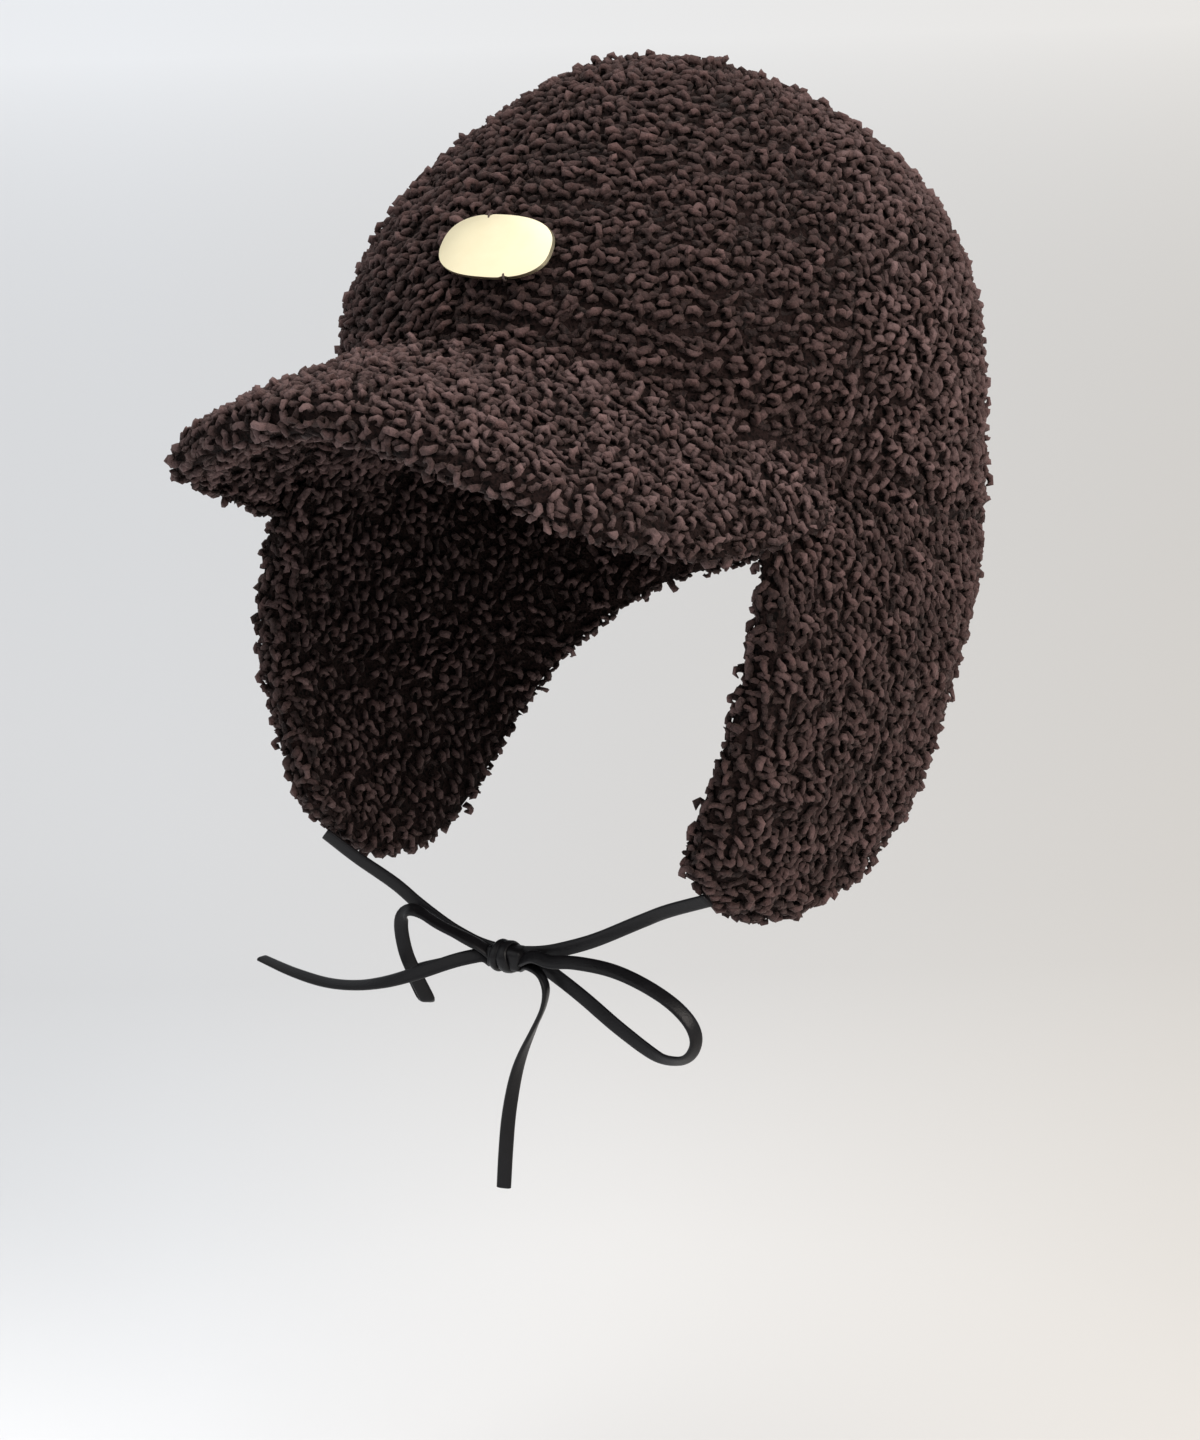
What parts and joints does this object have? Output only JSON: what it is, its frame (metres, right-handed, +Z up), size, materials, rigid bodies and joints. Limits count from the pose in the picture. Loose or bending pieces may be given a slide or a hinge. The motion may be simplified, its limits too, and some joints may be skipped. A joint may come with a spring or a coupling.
{
  "type": "earflap cap",
  "caption": "Padded cap of curly pile cloth with a short brim, long earflaps that meet at the nape, a small oval metal plate and flat ties in a bow.",
  "frame": {"origin": "middle of the head's hollow, at the level where the crown is widest, where a head holds the cap", "axes": "+Z up as worn, -Y the way the brim points, +X the wearer's left"},
  "size_m": [0.1882, 0.2729, 0.3117],
  "materials": {
    "crown_cloth": "matt dark brown curly pile, loops about 4 mm across in loose rows",
    "brim_cloth": "matt dark brown curly pile over a padded brim",
    "flap_cloth": "matt dark brown curly pile on both faces",
    "plate_metal": "pale gold plated sheet, satin face and polished edge",
    "tie_leather": "near black smooth strip with a soft sheen"
  },
  "bodies": {
    "root": {"crown_front_left": "crown_cloth", "crown_front_right": "crown_cloth", "crown_back_left": "crown_cloth", "crown_back_right": "crown_cloth", "brim": "brim_cloth", "earflap_left": "flap_cloth", "earflap_right": "flap_cloth", "label_plate": "plate_metal", "bow_knot": "tie_leather", "bow_loop_left": "tie_leather", "bow_loop_right": "tie_leather", "tie_left": "tie_leather", "tie_right": "tie_leather", "tie_end_left": "tie_leather", "tie_end_right": "tie_leather"}
  },
  "joints": []
}
